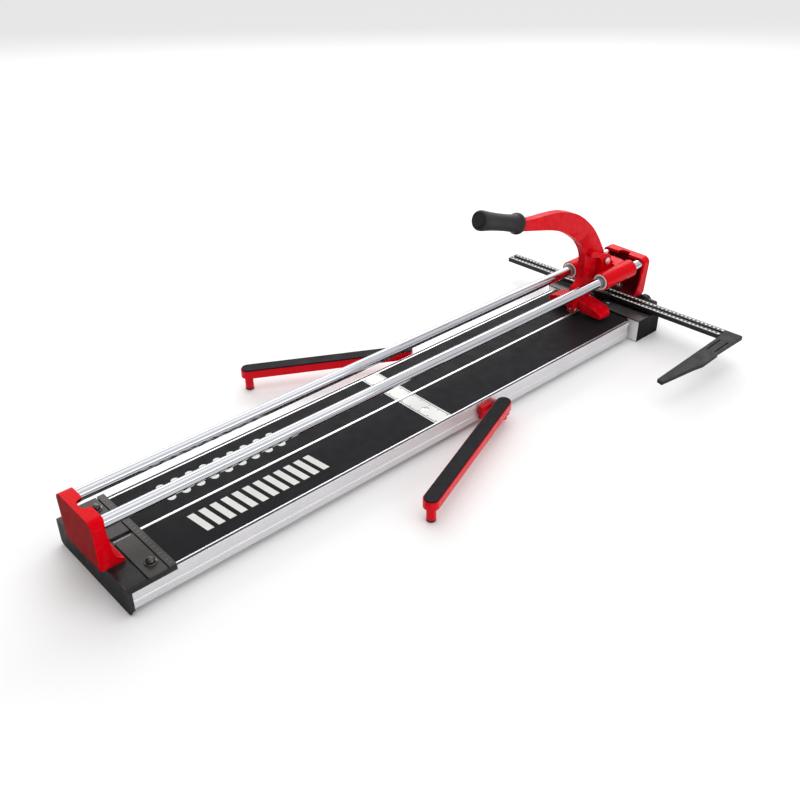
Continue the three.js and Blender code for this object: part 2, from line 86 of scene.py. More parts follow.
class Graph:
    """A node material, with short ways to add what most of them need."""

    def __init__(self, name):
        self.material = bpy.data.materials.new(name)
        self.material.use_nodes = True
        self.tree = self.material.node_tree
        self.shader = self.tree.nodes["Principled BSDF"]
        self.at = self.add("ShaderNodeTexCoord").outputs["Object"]

    def add(self, kind, **settings):
        node = self.tree.nodes.new(kind)
        for key, value in settings.items():
            setattr(node, key, value)
        return node

    def feed(self, socket, value):
        if isinstance(value, bpy.types.NodeSocket):
            self.tree.links.new(value, socket)
        else:
            socket.default_value = value

    def math(self, operation, a, b=0.0):
        node = self.add("ShaderNodeMath", operation=operation)
        self.feed(node.inputs[0], a)
        self.feed(node.inputs[1], b)
        return node.outputs[0]

    def stretched(self, stretch):
        node = self.add("ShaderNodeVectorMath", operation="MULTIPLY")
        self.feed(node.inputs[0], self.at)
        self.feed(node.inputs[1], stretch)
        return node.outputs[0]

    def noise(self, scale, detail=3.0, stretch=(1, 1, 1)):
        node = self.add("ShaderNodeTexNoise")
        self.feed(node.inputs["Vector"], self.stretched(stretch))
        node.inputs["Scale"].default_value = scale
        node.inputs["Detail"].default_value = detail
        return node.outputs["Fac"]

    def ramp(self, value, low, high, out_low=0.0, out_high=1.0):
        node = self.add("ShaderNodeMapRange")
        self.feed(node.inputs["Value"], value)
        for key, number in zip(RAMP_INPUTS, (low, high, out_low, out_high)):
            node.inputs[key].default_value = number
        return node.outputs["Result"]

    def mix(self, share, a, b):
        node = self.add("ShaderNodeMix", data_type="RGBA")
        self.feed(node.inputs["Factor"], share)
        for socket, value in zip([s for s in node.inputs if s.type == "RGBA"], (a, b)):
            self.feed(socket, value)
        return next(s for s in node.outputs if s.type == "RGBA")

    def bump(self, height, strength, distance):
        node = self.add("ShaderNodeBump")
        node.inputs["Strength"].default_value = strength
        node.inputs["Distance"].default_value = distance
        self.feed(node.inputs["Height"], height)
        return node.outputs["Normal"]


def rgba(colour, factor=1.0):
    return (*(min(1.0, c * factor) for c in colour), 1.0)


def surface(name, colour, roughness, metallic=0.0, vary=0.1, grain=900, bump=0.12, spread=0.07,
            stretch=(1, 1, 1), edge=None, dust=0.0, specular=0.5, tint=None):
    """A finished surface: broad and fine colour variation, uneven gloss and a fine relief.

    It can also have specks of dust, edges worn to another colour, and a tinted reflection.
    """
    g = Graph(name)
    broad, fine = g.noise(14, 3), g.noise(grain, 2, stretch)
    share = g.math("ADD", g.math("MULTIPLY", broad, 0.6), g.math("MULTIPLY", fine, 0.4))
    tone = g.mix(g.ramp(share, 0.3, 0.7), rgba(colour, 1 - vary), rgba(colour, 1 + vary))
    if dust:
        specks = g.ramp(g.noise(120, 5), 0.55, 0.75, 0, dust)
        tone = g.mix(specks, tone, rgba((0.5, 0.48, 0.46)))
    if edge:
        sharpness = g.add("ShaderNodeNewGeometry").outputs["Pointiness"]
        worn = g.math("MULTIPLY", g.ramp(sharpness, 0.52, 0.62), g.ramp(g.noise(90, 4), 0.4, 0.62))
        tone = g.mix(worn, tone, rgba(edge))
    g.feed(g.shader.inputs["Base Color"], tone)
    uneven = g.noise(46, 4, stretch)
    glossiest, dullest = max(0.02, roughness - spread), roughness + spread
    g.feed(g.shader.inputs["Roughness"], g.ramp(uneven, 0.3, 0.7, glossiest, dullest))
    g.feed(g.shader.inputs["Normal"], g.bump(fine, bump, 0.0003))
    g.shader.inputs["Metallic"].default_value = metallic
    g.shader.inputs["Specular IOR Level"].default_value = specular
    if tint:
        g.shader.inputs["Specular Tint"].default_value = rgba(tint)
    return g.material


ALONG = (0.02, 1, 1)   # stretches a pattern along X, as drawing and brushing do
MATERIALS = {
    "red_paint": surface("red_gloss_paint", (0.66, 0.0, 0.006), 0.28, vary=0.03, grain=350,
                         bump=0.03, edge=(0.7, 0.01, 0.02), specular=0.08, tint=(1, 0.2, 0.22)),
    # a darker, duller copy of the red paint for the posts' outer faces: painted shade
    "painted_shade_red_face": surface("red_outer_face_painted_shade", (0.27, 0.0, 0.002), 0.5, vary=0.06, grain=500,
                         bump=0.06, specular=0.015),
    "matte_black": surface("black_matte_face", (0.007, 0.007, 0.007), 0.45, vary=0.2, grain=900,
                           bump=0.06, specular=0.05),
    # a darker copy of the red paint for the posts' pockets: painted shade
    "shaded_red": surface("red_casting_inside_painted_shade", (0.10, 0.0, 0.002), 0.6, vary=0.2, grain=350,
                          bump=0.1, specular=0.1),
    "arm_red": surface("red_arm_paint", (0.66, 0.004, 0.012), 0.33, vary=0.04, grain=420,
                       bump=0.04, specular=0.25, tint=(1, 0.25, 0.28)),
    "black_steel": surface("black_powder_coat", (0.007, 0.007, 0.0075), 0.32, grain=1500,
                           bump=0.08, edge=(0.04, 0.04, 0.042), dust=0.012, specular=0.25),
    "grey_plate": surface("grey_anodised_plate", (0.045, 0.043, 0.041), 0.36, metallic=0.3, grain=700,
                          bump=0.05, stretch=(1, 0.05, 1), dust=0.02, specular=0.3),
    "aluminium": surface("drawn_aluminium", (0.70, 0.69, 0.71), 0.3, metallic=0.85, vary=0.06,
                         grain=700, bump=0.04, stretch=ALONG),
    "bare_face": surface("satin_aluminium", (0.9, 0.89, 0.88), 0.45, metallic=0.1, vary=0.03,
                         grain=500, bump=0.05),
    "chrome": surface("chromed_bar", (0.52, 0.53, 0.56), 0.08, metallic=1.0, vary=0.03, grain=900,
                      bump=0.01, spread=0.03, stretch=ALONG),
    "bright_steel": surface("zinc_plated_steel", (0.72, 0.72, 0.7), 0.25, metallic=0.9, vary=0.1,
                            grain=900, bump=0.08),
    "satin_steel": surface("satin_rule_steel", (0.72, 0.72, 0.70), 0.5, metallic=0.3, vary=0.06,
                           grain=700, bump=0.05, specular=0.2),
    # dark grey for the groove at the mats' edge: painted shade in the recess
    "groove_painted_shade": surface("shaded_metal", (0.10, 0.10, 0.105), 0.35, metallic=0.7, vary=0.15,
                          grain=700, bump=0.06),
    "mat_rubber": surface("ribbed_mat_rubber", (0.013, 0.012, 0.014), 0.5, grain=1300, bump=0.2,
                          dust=0.008, specular=0.05),
    "grip_rubber": surface("soft_grip_rubber", (0.012, 0.012, 0.013), 0.5, grain=1600, bump=0.25,
                           specular=0.3),
    "polymer": surface("pale_polymer", (0.95, 0.93, 0.89), 0.45, vary=0.04, grain=800, bump=0.06),
    "seal_lip": surface("grey_seal_lip", (0.30, 0.29, 0.28), 0.45, vary=0.06, grain=700, bump=0.05),
    "gloss_black": surface("black_bolt_finish", (0.008, 0.008, 0.008), 0.14, grain=900, bump=0.03,
                           specular=0.8),
    "black_plastic": surface("black_moulding", (0.008, 0.008, 0.009), 0.38, grain=1400, bump=0.1,
                             dust=0.006, specular=0.3),
    "stop_arm": surface("grey_stop_arm", (0.016, 0.016, 0.017), 0.5, grain=1200, bump=0.08,
                        dust=0.01, specular=0.15),
    "print": surface("white_print", (0.76, 0.76, 0.73), 0.5, vary=0.05, grain=900, bump=0.06,
                     specular=0.3),
    "faint_print": surface("faint_print", (0.11, 0.11, 0.11), 0.5, vary=0.2, grain=900, bump=0.08),
    "dark_print": surface("dark_print", (0.01, 0.01, 0.01), 0.5, vary=0.2, grain=900, bump=0.08,
                          specular=0.2),
}


# ---------------------------------------------------------------- shapes, in millimetres

def ring(radius, n, cx=0.0, cy=0.0, start=0.0, sweep=360.0):
    """Points round a circle, or along an arc of it with both ends."""
    whole = abs(sweep) >= 360
    steps = n if whole else n - 1
    angles = [math.radians(start + sweep * i / steps) for i in range(n)]
    return [(cx + radius * math.cos(a), cy + radius * math.sin(a)) for a in angles]


def rounded(x0, x1, y0, y1, radii, n=8):
    """A rectangle with rounded corners; radii run anticlockwise from the low corner."""
    corners = [(x0, y0, 180, 1, 1), (x1, y0, 270, -1, 1), (x1, y1, 0, -1, -1), (x0, y1, 90, 1, -1)]
    points = []
    for (x, y, start, sx, sy), r in zip(corners, radii):
        points += ring(r, n, x + sx * r, y + sy * r, start, 90) if r else [(x, y)]
    return points


def stadium(a, b, r, n=14):
    """A slot shape: two half circles of radius r about a and b, and the lines between them."""
    angle = math.degrees(math.atan2(b[1] - a[1], b[0] - a[0]))
    return ring(r, n, *a, angle + 90, 180) + ring(r, n, *b, angle - 90, 180)


def smooth_line(points, per_span=6):
    """A Catmull-Rom curve through the points."""
    ends = [points[0], *points, points[-1]]
    line = []
    for p0, p1, p2, p3 in zip(ends, ends[1:], ends[2:], ends[3:]):
        for i in range(per_span):
            t = i / per_span
            line.append(tuple(0.5 * (2 * b + (c - a) * t + (2 * a - 5 * b + 4 * c - d) * t * t
                                     + (3 * b - a - 3 * c + d) * t ** 3)
                              for a, b, c, d in zip(p0, p1, p2, p3)))
    return line + [points[-1]]


def prism(points, axis, low, high):
    """A bar whose outline is drawn across the named axis."""
    place = {"x": lambda a, b, t: (t, a, b), "y": lambda a, b, t: (a, t, b),
             "z": lambda a, b, t: (a, b, t)}[axis]
    bm = bmesh.new()
    ends = [[bm.verts.new(place(a, b, t)) for a, b in points] for t in (low, high)]
    for i in range(len(points)):
        k = (i + 1) % len(points)
        bm.faces.new((ends[0][i], ends[0][k], ends[1][k], ends[1][i]))
    for end in ends:
        bm.faces.new(end)
    bmesh.ops.recalc_face_normals(bm, faces=bm.faces)
    return bm


def block(x0, x1, y0, y1, z0, z1):
    y0, y1 = sorted((y0, y1))
    return prism([(x0, y0), (x1, y0), (x1, y1), (x0, y1)], "z", z0, z1)


def turned(profile, start, direction, n=48, waves=0, depth=0.0):
    """A turned body. The profile gives radius against distance along direction; one that starts
    and ends on the axis is closed by points, and any other is a closed ring. waves is how many
    scallops its rim has, as on a knob, and depth is their depth as a share of the radius."""
    axis = Vector(direction).normalized()
    side = axis.orthogonal().normalized()
    other = axis.cross(side)
    bm = bmesh.new()
    rows = []
    for r, t in profile:
        centre = Vector(start) + axis * t
        if r == 0:
            rows.append([bm.verts.new(centre)])
            continue
        row = []
        for i in range(n):
            a = 2 * math.pi * i / n
            reach = r * (1 - depth * (0.5 + 0.5 * math.cos(waves * a)) ** 2)
            row.append(bm.verts.new(centre + (side * math.cos(a) + other * math.sin(a)) * reach))
        rows.append(row)
    pairs = list(zip(rows, rows[1:]))
    if profile[0][0] and profile[-1][0]:
        pairs.append((rows[-1], rows[0]))
    for a, b in pairs:
        for i in range(n):
            k = (i + 1) % n
            corners = [a[i % len(a)], a[k % len(a)], b[k % len(b)], b[i % len(b)]]
            bm.faces.new(list(dict.fromkeys(corners)))
    bmesh.ops.recalc_face_normals(bm, faces=bm.faces)
    return bm


def rod(radius, start, end, n=48, chamfer=0.5):
    along = Vector(end) - Vector(start)
    length, c = along.length, chamfer
    profile = [(0, 0), (radius - c, 0), (radius, c), (radius, length - c), (radius - c, length),
               (0, length)]
    return turned(profile, start, along, n)


def solid(*parts):
    """One object that holds the given shapes."""
    mesh = bpy.data.meshes.new("work")
    whole = bmesh.new()
    for part in parts:
        part.to_mesh(mesh)
        whole.from_mesh(mesh)
        part.free()
    whole.to_mesh(mesh)
    whole.free()
    made = bpy.data.objects.new("work", mesh)
    bpy.context.scene.collection.objects.link(made)
    return made


def settle(made):
    """Applies the object's modifiers."""
    bpy.context.view_layer.update()
    evaluated = made.evaluated_get(bpy.context.evaluated_depsgraph_get())
    mesh = bpy.data.meshes.new_from_object(evaluated)
    made.modifiers.clear()
    old, made.data = made.data, mesh
    bpy.data.meshes.remove(old)
    return made


def combine(made, operation, parts):
    """Adds the parts to the object, or takes them away, one after another."""
    tools = [solid(part) for part in parts]
    for tool in tools:
        modifier = made.modifiers.new("boolean", "BOOLEAN")
        modifier.operation, modifier.solver, modifier.object = operation, "EXACT", tool
    settle(made)
    for tool in tools:
        mesh = tool.data
        bpy.data.objects.remove(tool)
        bpy.data.meshes.remove(mesh)
    return made


def join(first, *parts):
    return combine(solid(first), "UNION", parts)


def cut(made, *parts):
    return combine(made, "DIFFERENCE", parts)


def smooth(made, sharp_angle):
    for face in made.data.polygons:
        face.use_smooth = True
    made.data.set_sharp_from_angle(angle=math.radians(sharp_angle))
    made.modifiers.new("normals", "WEIGHTED_NORMAL").keep_sharp = True
    return settle(made)


def piece(name, made, body, nodes, slot, material=None, bevel=0.5, segments=2, sharp=40,
          place=None):
    """Finishes a shape: rounds its edges, takes it to the CAD frame, and hangs it on its body."""
    if isinstance(made, bmesh.types.BMesh):
        made = solid(made)
    if bevel:
        modifier = made.modifiers.new("bevel", "BEVEL")
        modifier.width, modifier.segments = bevel, segments
        modifier.limit_method, modifier.angle_limit = "ANGLE", math.radians(28)
        settle(made)
    smooth(made, sharp)
    made.data.transform(TO_FRAME @ (place or Matrix.Identity(4)))
    made.name = made.data.name = name
    made.data.materials.clear()
    made.data.materials.append(MATERIALS[material or slot])
    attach(made, body)
    if nodes:
        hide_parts(*nodes)
    return made


def second_material(made, material, chosen):
    """Gives another material to the faces that the test picks out: another finish, or painted shade.
    """
    made.data.materials.append(MATERIALS[material])
    for face in made.data.polygons:
        if chosen(face):
            face.material_index = len(made.data.materials) - 1


def sided(points, s):
    """Takes an outline in Y and Z to side s."""
    return [(s * y, z) for y, z in points]


def sided_plan(points, s):
    """Takes an outline in X and Y to side s."""
    return [(x, s * y) for x, y in points]


# ---------------------------------------------------------------- base

def deck_rail(side, s):
    lip_y, groove_z = 109.4, 48.6
    profile = [(6, 43), (109.5, 43), (109.5, 14.5), (95, 14.5), (95, 10.6), (114.6, 10.6),
               (114.6, 24.2), (113.2, 25.4), (113.2, 40), (SIDE_Y, 40.8), (SIDE_Y, MAT_Z),
               (114, MAT_Z), (114, groove_z), (lip_y, groove_z), (lip_y, MAT_Z), (106.4, MAT_Z),
               (106.4, DECK_Z), (6, DECK_Z)]
    made = piece(f"{side}_deck_extrusion", prism(sided(profile, s), "x", *DECK_X), "base",
                 [f"{side}_deck_rail"], "aluminium", bevel=0.3)

    def in_edge_groove(face):
        return abs(face.center.y) > 0.1093 and 0.048 < face.center.z < 0.0498

    # the groove's faces are coloured dark grey: painted shade in the recess
    second_material(made, "groove_painted_shade", in_edge_groove)


def centre_rail():
    rib_top = 51.6
    profile = [(-20, 10.6), (20, 10.6), (20, 14.5), (5.7, 14.5), (5.7, DECK_Z), (2.5, DECK_Z),
               (2.5, rib_top), (-2.5, rib_top), (-2.5, DECK_Z), (-5.7, DECK_Z), (-5.7, 14.5),
               (-20, 14.5)]
    bar = solid(prism(profile, "x", DECK_X[0], 574))
    cut(bar, block(-700, -666.6, -10, 10, 49.9, 60))
    piece("breaking_rib", bar, "base", ["centre_rail"], "aluminium", bevel=0.6, segments=3)


def mat(end, side, s, x0, x1):
    outline = sided_plan(rounded(x0, x1, *MAT_Y, [4, 4, 2, 2], 5), s)
    piece(f"{end}_{side}_rubber_mat", prism(outline, "z", DECK_Z + 0.1, MAT_Z), "base",
          [f"{end}_{side}_mat"], "mat_rubber", bevel=0.5)


def marks(name, spans, z, slot, body="base", place=None, height=0.12,
          material="dark_print"):
    """Thin printed marks: each span is x0, x1, y0, y1."""
    parts = [block(x0, x1, y0, y1, z, z + height) for x0, x1, y0, y1 in spans]
    piece(name, solid(*parts), body, [], slot, material=material, bevel=0, place=place)


def middle_rule(side, s):
    x, y = -28, s * 58
    outline = sided_plan(rounded(-48, -4, *MAT_Y, [3, 3, 0, 0], 5), s)
    hole = rod(8.2, (x, y, DECK_Z - 1), (x, y, MAT_Z + 1), chamfer=0)
    plate = cut(solid(prism(outline, "z", DECK_Z + 0.1, MAT_Z + 0.2)), hole)
    piece(f"{side}_rule_plate", plate, "base", [f"{side}_middle_rule"], "bright_steel",
          material="satin_steel", bevel=0.3)
    head = [(0, 0), (7.2, 0), (7.6, 0.5), (7.6, 1.4), (7.1, 1.8), (4.4, 1.4), (3.6, 0.9), (0, 0.9)]
    piece(f"{side}_rule_screw", turned(head, (x, y, DECK_Z + 0.2), (0, 0, 1)), "base",
          [f"{side}_middle_screw"], "bright_steel", bevel=0)
    spans, low, high, half = [], -46.6, -5.4, 0.8
    for k in range(21):
        y = 6 + 4.8 * k
        reach = 7.5 if k % 5 == 0 else 4.5
        for x0, x1 in ((low, low + reach), (high - reach, high)):
            spans.append((x0, x1, s * (y - half), s * (y + half)))
    marks(f"{side}_rule_marks", spans, MAT_Z + 0.15, "bright_steel")


def near_bracket():
    w = NEAR_BRACKET_Y
    end_plate = prism(rounded(-w, w, 0, BRACKET_TOP, [9, 9, 5, 5]), "x", BASE_X[0], -703)
    top = prism(rounded(-w, w, 44.6, BRACKET_TOP, [0, 0, 5, 5]), "x", BASE_X[0], -619)
    shell = cut(solid(top), block(-703, -600, -SIDE_Y - 0.3, SIDE_Y + 0.3, 40, 50.3))
    returns = [block(BASE_X[0], -698.4, s * (w - 3), s * w, 9, 46) for _, s in SIDES]
    foot = block(BASE_X[0], 2 * NEAR_FOOT_X - BASE_X[0], -104, 104, 0, 3)
    combine(shell, "UNION", [end_plate, foot, *returns])
    cut(shell, block(-667, -610, *RIB_SLOT_Y, 40, 60))
    made = piece("near_end_bracket", shell, "base", ["near_bracket"], "black_steel", bevel=0.7,
                 segments=3)
    second_material(made, "matte_black", lambda face: face.normal.x < -0.9)


def far_bracket():
    wall, step, w, narrow = 3, 660, FAR_BRACKET_Y, 56
    end = BASE_X[1]

    def plan(x0, x1, x2, y0, y1):
        """A wide box from x0 to x1 with a narrower one behind it, to x2."""
        return [(x0, -y0), (x1, -y0), (x1, -y1), (x2, -y1), (x2, y1), (x1, y1), (x1, y0), (x0, y0)]

    outline = plan(FAR_BRACKET_X, step, end, w, narrow)
    inner = plan(FAR_BRACKET_X + wall, step - wall, end - wall, w - wall, narrow - wall)
    shell = cut(solid(prism(outline, "z", 0, 51)), prism(inner, "z", -1, 48))
    tongues = [block(500, 581, s * 26, s * 92, 38.6, 42.7) for _, s in SIDES]
    top = block(664, end, -narrow, narrow, 50, BRACKET_TOP)
    boss = rod(9, (KNOB_X, -54, KNOB_Z), (KNOB_X, -36, KNOB_Z))
    combine(shell, "UNION", [top, boss, *tongues])
    cut(shell, rod(5.2, (KNOB_X, -61, KNOB_Z), (KNOB_X, -30, KNOB_Z), chamfer=0))
    made = piece("far_end_bracket", shell, "base", ["far_bracket"], "black_steel", bevel=0.7,
                 segments=3)
    second_material(made, "matte_black", lambda face: abs(face.normal.y) > 0.9)
    faces = [rounded(*sorted((s * 98, s * 130.2)), 0.8, 50.2, [1, 1, 1, 1], 3) for _, s in SIDES]
    piece("bracket_bare_faces", solid(*[prism(face, "x", 578.7, 579.1) for face in faces]), "base",
          [], "aluminium", material="bare_face", bevel=0)


def near_furniture(side, s):
    inner = max(s * edge for edge in RIB_SLOT_Y)
    outline = sided_plan(rounded(-668, -634, inner, NEAR_BRACKET_Y, [1, 1, 2, 2], 4), s)
    piece(f"{side}_near_cover", prism(outline, "z", NEAR_PLATE_Z, 57), "base",
          [f"near_{side}_plate"], "grey_plate", bevel=0.5)
    dome = [(0, 0), (10.1, 0), (10.5, 0.4), (10.5, 1.2), (10.1, 1.6), (8, 1.9), (7.8, 4.6),
            (7.4, 5.6), (6.2, 7.6), (4.4, 9.0), (2.2, 9.6), (0, 9.7)]
    piece(f"{side}_dome_bolt", turned(dome, (-648, s * 88, 57.3), (0, 0, 1)), "base",
          [f"near_{side}_bolt"], "black_steel", material="gloss_black", bevel=0)


def stop_strip():
    outline = rounded(-632.5, -619.5, -116, 116, [1, 1, 1, 1], 4)
    strip = cut(solid(prism(outline, "z", NEAR_PLATE_Z, 58.4)), block(-640, -610, -3, 3, 50, 54.9))
    piece("tile_stop_strip", strip, "base", ["stop_strip"], "grey_plate", bevel=0.5)
    spans, high = [], -624
    for k in range(-11, 12):
        reach = 6 if k % 2 == 0 else 4
        spans.append((high - reach, high, 10 * k - 0.6, 10 * k + 0.6))
    marks("stop_strip_marks", spans, 58.35, "grey_plate", material="faint_print",
          height=0.1)


def far_furniture(side, s):
    x, y = 601, s * 27
    outline = sided_plan(rounded(575.6, 613, 12, 130.6, [1, 5, 1, 1], 6), s)
    plate = cut(solid(prism(outline, "z", FAR_PLATE_Z, BRACKET_TOP)),
                rod(4.6, (x, y, 50), (x, y, 60), chamfer=0))
    piece(f"{side}_far_scale", plate, "base", [f"far_{side}_rule"], "grey_plate", bevel=0.4)
    head = [(0, 0), (3.9, 0), (4.1, 0.3), (4.1, 3.2), (3.4, 3.8), (1.4, 3.9), (1.2, 3.2), (0, 3.2)]
    piece(f"{side}_far_scale_screw", turned(head, (x, y, FAR_PLATE_Z), (0, 0, 1), n=32), "base",
          [f"far_{side}_screw"], "bright_steel", bevel=0)
    spans, low = [], 577.5
    for k in range(18):
        y = 36 + 5 * k
        reach = 7 if k % 5 == 0 else 4
        spans.append((low, low + reach, s * (y - 0.5), s * (y + 0.5)))
    marks(f"{side}_far_scale_marks", spans, BRACKET_TOP - 0.05, "grey_plate",
          material="faint_print", height=0.1)


def end_post(end, face_x, inward):
    """A shell casting with a flat outer face at face_x, open on the side that the rails come from.

    Depths run inward from the outer face, and inward is the sign of X in that direction.
    """
    w, z0 = POST_HALF_Y, POST_FOOT_Z
    back, depth_of_shell, nut_depth = 8, 43, 24

    def at(depth):
        return face_x + inward * depth

    def slab(points, d0, d1):
        return prism(points, "x", *sorted((at(d0), at(d1))))

    def taper(points):
        return [(y * (1 - 0.085 * (POST_TOP - z) / (POST_TOP - z0)), z) for y, z in points]

    def corner(depth, y, turn_y, r):
        """Rounds a vertical edge of a lobe in plan."""
        arc = ring(r, 9, depth - r, y + turn_y * r, 0, -90 if turn_y > 0 else 90)
        points = [(depth + 3, y - turn_y * 3), (depth + 3, y + turn_y * r), *arc,
                  (depth - r, y - turn_y * 3)]
        return prism([(at(a), b) for a, b in points], "z", 112, 160)

    outline = taper(rounded(-w, w, z0, POST_TOP, [0, 0, 15, 15], 10))
    pocket = taper(rounded(4.6 - w, w - 4.6, z0 + 7, POST_TOP - 6, [4, 4, 10, 10], 8))
    rim = [(24, POST_TOP + 8), (24, 96), (24.8, 86), (27, 77), (31, 69.5), (36.5, 63.5), (43, 59.4),
           (62, 59.4), (62, POST_TOP + 8)]
    made = cut(solid(slab(outline, 0, depth_of_shell)), slab(pocket, back, 62))
    combine(made, "UNION", [slab(ring(15, 40, s * RAIL_Y, RAIL_Z), 7, 14) for _, s in SIDES])
    notch = prism([(at(a), b) for a, b in rounded(10, 62, -13, 13, [8, 0, 0, 8], 8)], "z", 130, 160)
    heel = prism([(at(a), b) for a, b in [(-1, z0 - 1), (6, z0 - 1), (-1, z0 + 6)]], "y", -80, 80)
    cutters = [prism([(at(a), b) for a, b in rim], "y", -80, 80), heel, notch]
    for _, s in SIDES:
        cutters += [slab(ring(13.4, 40, s * RAIL_Y, RAIL_Z), 2.6, 20.4),
                    slab(ring(11.6, 40, s * RAIL_Y, RAIL_Z), 15, 62),
                    corner(24, s * w, -s, 9), corner(24, s * 13, s, 6)]
    cut(made, *cutters)
    made = piece(f"{end}_rail_post", made, "base", [f"{end}_post"], "red_paint", bevel=1.4,
                 segments=4)
    back_x = (TO_FRAME @ Vector((at(back), 0, 0))).x

    def beyond_back(face):
        return (face.center.x - back_x) * inward

    def inside(face):
        """The pocket's back, sides and ceiling, and its floor on the far post, which get painted
        shade.
        """
        c, n = face.center, face.normal
        across = abs(n.x) > 0.9
        if beyond_back(face) < -0.0003 or c.z < 0.055 or across and abs(c.x - back_x) > 0.0003:
            return False
        side, ceiling = n.y * c.y < -0.01, n.z < -0.5 and c.z > 0.13
        return side or across or ceiling or inward < 0 and n.z > 0.5 and c.z < 0.07

    # the outer face, which gets a darker red: painted shade on the side turned away from the lamps
    def outer(face):
        return face.normal.x * inward < -0.95 and beyond_back(face) < -0.006

    # the pocket's faces get a darker red: painted shade
    second_material(made, "shaded_red", inside)
    # the outer face gets a darker, duller red: painted shade
    second_material(made, "painted_shade_red_face", outer)
    for side, s in SIDES:
        bush = [(RAIL_R + 0.2, 3.5), (12.8, 3.5), (13.2, 4), (13.2, 19.6), (12.6, 20.2),
                (RAIL_R + 0.2, 20.2)]
        made = turned(bush, (face_x, s * RAIL_Y, RAIL_Z), (inward, 0, 0))
        piece(f"{end}_{side}_bush_ring", made, "base", [f"{end}_{side}_rail_bush"], "black_plastic",
              bevel=0)
    x = at(nut_depth)
    nut = join(rod(4, (x, 0, 51), (x, 0, 71), n=32), prism(ring(8.6, 6, x, 0), "z", 61.6, 67.5))
    piece(f"{end}_post_nut", nut, "base", [f"{end}_post_bolt"], "bright_steel", bevel=0.5)


def slide_rail(side, s):
    y, inset = s * RAIL_Y, 6.4
    bar = rod(RAIL_R, (POST_FACE_X[0] + inset, y, RAIL_Z), (POST_FACE_X[1] - inset, y, RAIL_Z), n=96)
    piece(f"{side}_guide_bar", bar, "base", [f"{side}_slide_rail"], "chrome", bevel=0)


def mat_print():
    """Plain slanted bars on one near mat and capsules on the other, in place of any words."""
    z0, z1 = MAT_Z - 0.02, MAT_Z + 0.12
    bars = [prism([(x, -77), (x + 13, -77), (x + 7, -23), (x - 6, -23)], "z", z0, z1)
            for x in (-538 + 22 * k for k in range(12))]
    capsules = [prism(stadium((x, 39), (x, 75), 8, 8), "z", z0, z1)
                for x in (-535 + 29 * k for k in range(9))]
    piece("mat_stripes", solid(*bars, *capsules), "base", [], "mat_rubber", material="print",
          bevel=0)


# ---------------------------------------------------------------- carriage and lever

def tube(x0, x1, s):
    length = x1 - x0
    profile = [(14.8, 3.3), (18.4, 3.3), (18.4, 0.4), (18.8, 0), (19.6, 0), (TUBE_R, 1),
               (TUBE_R, length - 1), (19.6, length), (18.8, length), (18.4, length - 0.4),
               (18.4, length - 3.3), (14.8, length - 3.3)]
    return turned(profile, (x0, s * RAIL_Y, RAIL_Z), (1, 0, 0), n=80)


def carriage():
    x0, x1 = CARRIAGE_X
    px, pz = PIVOT
    bridge = prism([(-43, 122), (43, 122), (43, 148), (20, 152), (-20, 152), (-43, 148)], "x",
                   604, 640)
    lug = [(531, 203), (525, 201.5), (521, 198), (522, 193), (526, 189.5), (556, 180)]
    tops = {-1: [*ring(17, 12, px, pz, 0, 105), *lug, (px - 17, pz)], 1: ring(17, 19, px, pz, 0, 180)}
    ears = [prism([(556, 124), (640, 124), (640, 146), (612, 152), *tops[s], (562, 148)], "y",
                  *sorted((s * 9.6, s * 21))) for _, s in SIDES]
    webs = [block(556, 640, s * 18, s * 43, 124, 142) for _, s in SIDES]
    core = join(bridge, *ears, *webs)
    bores = [rod(17, (x0 - 5, s * RAIL_Y, RAIL_Z), (x1 + 5, s * RAIL_Y, RAIL_Z), chamfer=0, n=64)
             for _, s in SIDES]
    cut(core, *bores, rod(5.2, (px, -30, pz), (px, 30, pz), chamfer=0))
    combine(core, "UNION", [tube(x0, x1, s) for _, s in SIDES])
    piece("sliding_carriage", core, "carriage", ["carriage"], "red_paint", bevel=1.2, segments=3)
    seal = [(RAIL_R + 0.15, 1.2), (14.2, 1.2), (14.9, 0.4), (17.6, 0.2), (18.2, 0.8), (18.2, 3),
            (14.5, 3), (14.5, 34), (RAIL_R + 0.15, 34)]
    for side, s in SIDES:
        for end, x, inward in (("near", x0, 1), ("far", x1, -1)):
            made = turned(seal, (x, s * RAIL_Y, RAIL_Z), (inward, 0, 0), n=64)
            made = piece(f"{side}_{end}_seal_ring", made, "carriage", [f"{side}_{end}_bearing"],
                         "polymer", bevel=0)
            middle = TO_FRAME @ Vector((x, s * RAIL_Y, RAIL_Z))
            second_material(made, "seal_lip", lambda face: (face.center - middle).yz.length < 0.0135)
    bolt = join(rod(4.9, (px, -22, pz), (px, 26, pz)),
                rod(8.2, (px, -27, pz), (px, -21.3, pz), chamfer=1.2),
                rod(5.4, (px, -28.4, pz), (px, -26, pz), n=32),
                prism(ring(8.4, 6, px, pz), "y", 21.3, 27))
    piece("pivot_screw", bolt, "carriage", ["pivot_bolt"], "bright_steel", bevel=0.4)


